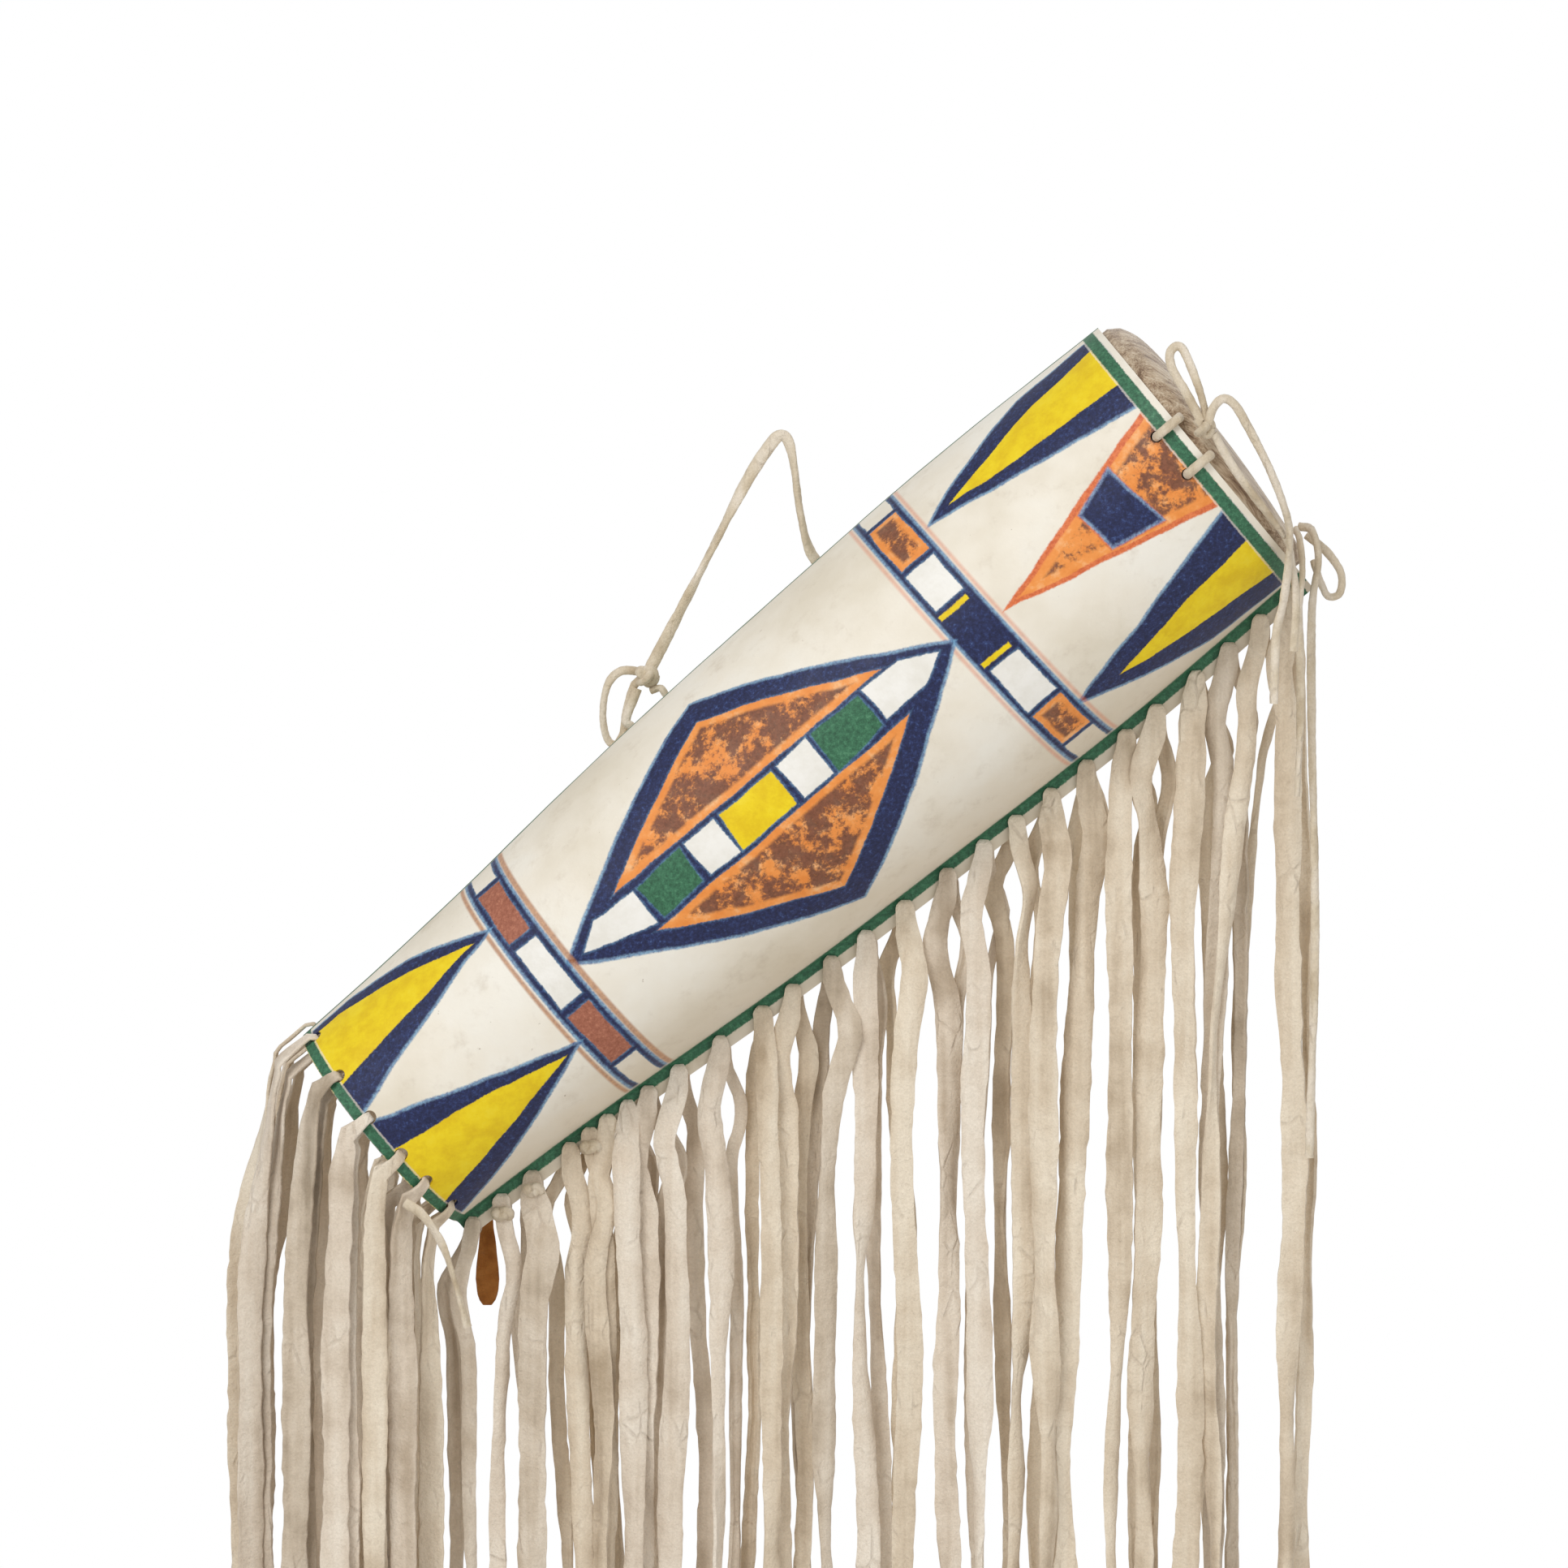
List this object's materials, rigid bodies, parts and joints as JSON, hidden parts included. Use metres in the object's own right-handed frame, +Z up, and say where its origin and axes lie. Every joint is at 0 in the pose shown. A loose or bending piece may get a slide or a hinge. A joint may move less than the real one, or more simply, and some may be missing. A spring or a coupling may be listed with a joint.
{
  "type": "rawhide case",
  "caption": "Painted cylindrical rawhide case with a domed lid, laced fringed seam, long buckskin fringe and a hide hanging loop.",
  "frame": {"origin": "the top of the hanging loop, where the peg holds it", "axes": "+Z up, +X to the right along the tilted case towards its lid, +Y to the back, away from the painted front"},
  "size_m": [0.524, 0.1643, 0.999],
  "materials": {
    "rawhide": "cream rawhide, satin, painted in mineral colours on the outside",
    "buckskin": "sueded grey-beige buckskin, matte",
    "hair_on_hide": "thick hide with brown streaks of short hair, matte",
    "smoked_hide": "ochre smoked hide, matte"
  },
  "bodies": {
    "hanger": {"hanging_loop": "buckskin", "hanging_loop_knot": "buckskin", "hanging_loop_tie": "buckskin", "hanging_loop_bow": "buckskin"},
    "case": {"rawhide_tube": "rawhide", "bottom_disc": "rawhide", "lid_stitch_1": "buckskin", "lid_stitch_2": "buckskin", "foot_thong": "buckskin", "smoked_hide_tab": "smoked_hide"},
    "lid": {"lid": "hair_on_hide", "lid_knot": "buckskin", "lid_bow_left": "buckskin", "closure_thong": "buckskin", "closure_thong_tail": "buckskin", "closure_bow": "buckskin"},
    "seam_fringe": {"seam_strip_01": "buckskin", "seam_strip_02": "buckskin", "seam_strip_03": "buckskin", "seam_strip_04": "buckskin", "seam_strip_05": "buckskin", "seam_strip_06": "buckskin", "seam_strip_07": "buckskin", "seam_strip_08": "buckskin", "seam_strip_09": "buckskin", "seam_strip_10": "buckskin", "seam_strip_11": "buckskin", "seam_strip_12": "buckskin", "seam_strip_13": "buckskin", "seam_strip_14": "buckskin", "seam_strip_15": "buckskin", "seam_strip_16": "buckskin", "seam_strip_17": "buckskin", "seam_strip_18": "buckskin", "seam_strip_19": "buckskin", "seam_strip_20": "buckskin", "seam_strip_21": "buckskin", "seam_strip_22": "buckskin", "seam_strip_23": "buckskin", "seam_strip_24": "buckskin", "seam_strip_25": "buckskin", "seam_strip_26": "buckskin"},
    "rim_fringe": {"rim_strip_01": "buckskin", "rim_strip_02": "buckskin", "rim_strip_03": "buckskin", "rim_strip_04": "buckskin", "rim_strip_05": "buckskin", "rim_strip_06": "buckskin", "rim_strip_07": "buckskin", "rim_strip_08": "buckskin", "rim_strip_09": "buckskin", "rim_strip_10": "buckskin", "rim_strip_11": "buckskin", "rim_strip_12": "buckskin", "rim_strip_13": "buckskin"}
  },
  "joints": [
    {"name": "case_swing", "type": "hinge", "parent": "hanger", "child": "case", "pos_m": [-0.0237, 0, -0.1002], "axis": [-0.7448, 0, -0.6673], "range_deg": [0, 25], "deforming": ["hanging_loop", "hanging_loop_tie", "hanging_loop_bow"]},
    {"name": "lid_hinge", "type": "hinge", "parent": "case", "child": "lid", "pos_m": [0.2018, -0.0873, -0.009], "axis": [0.6388, 0, -0.7694], "range_deg": [0, 95], "deforming": ["lid_stitch_1", "lid_stitch_2", "lid_bow_left", "closure_thong", "closure_thong_tail", "closure_bow", "lid_knot"]},
    {"name": "seam_fringe_swing", "type": "hinge", "parent": "case", "child": "seam_fringe", "pos_m": [0.0498, -0.012, -0.2302], "axis": [0.791, 0, 0.6119], "range_deg": [-20, 20], "deforming": ["seam_strip_01", "seam_strip_02", "seam_strip_03", "seam_strip_04", "seam_strip_05", "seam_strip_06", "seam_strip_07", "seam_strip_08", "seam_strip_09", "seam_strip_10", "seam_strip_11", "seam_strip_12", "seam_strip_13", "seam_strip_14", "seam_strip_15", "seam_strip_16", "seam_strip_17", "seam_strip_18", "seam_strip_19", "seam_strip_20", "seam_strip_21", "seam_strip_22", "seam_strip_23", "seam_strip_24", "seam_strip_25", "seam_strip_26"]},
    {"name": "rim_fringe_swing", "type": "hinge", "parent": "case", "child": "rim_fringe", "pos_m": [-0.1969, -0.012, -0.3401], "axis": [0.6388, 0, -0.7694], "range_deg": [-20, 20], "deforming": ["rim_strip_01", "rim_strip_02", "rim_strip_03", "rim_strip_04", "rim_strip_05", "rim_strip_06", "rim_strip_07", "rim_strip_08", "rim_strip_09", "rim_strip_10", "rim_strip_11", "rim_strip_12", "rim_strip_13"]}
  ]
}
